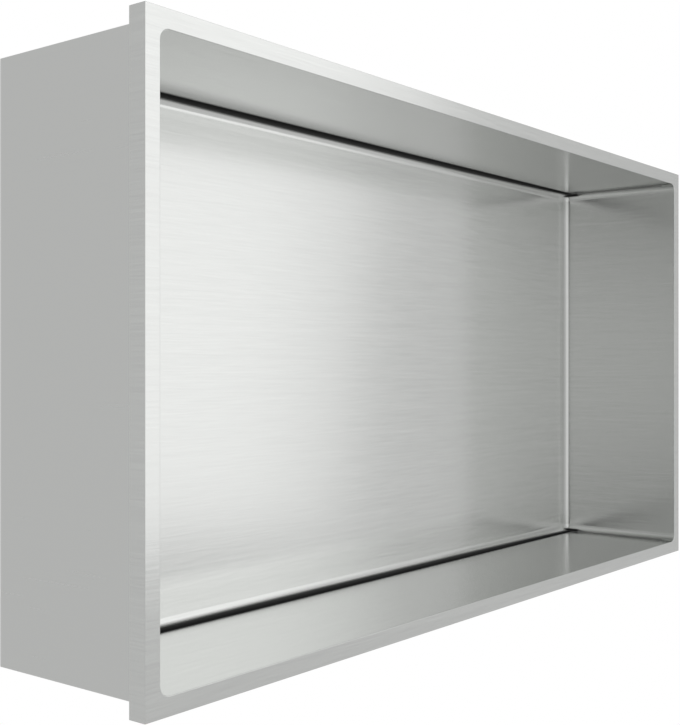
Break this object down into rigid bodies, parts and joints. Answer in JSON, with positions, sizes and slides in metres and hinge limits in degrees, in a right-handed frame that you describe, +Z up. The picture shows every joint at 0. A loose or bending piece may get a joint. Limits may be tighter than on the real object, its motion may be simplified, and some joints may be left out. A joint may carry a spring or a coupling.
{
  "type": "shower niche insert",
  "caption": "Rectangular brushed steel niche insert: an open-fronted box with rounded inside corners, a flat front frame and a lip that seats on the wall, for bottles and soap.",
  "frame": {"origin": "centre of the wall seat, the plane of the lip's rear face", "axes": "+Z up, +Y into the wall along the casing, +X along the width; the mouth faces -Y"},
  "size_m": [0.6286, 0.1136, 0.3238],
  "materials": {
    "brushed_stainless": "satin stainless steel, brushed along the width"
  },
  "bodies": {
    "root": {"niche_box": "brushed_stainless"}
  },
  "joints": []
}
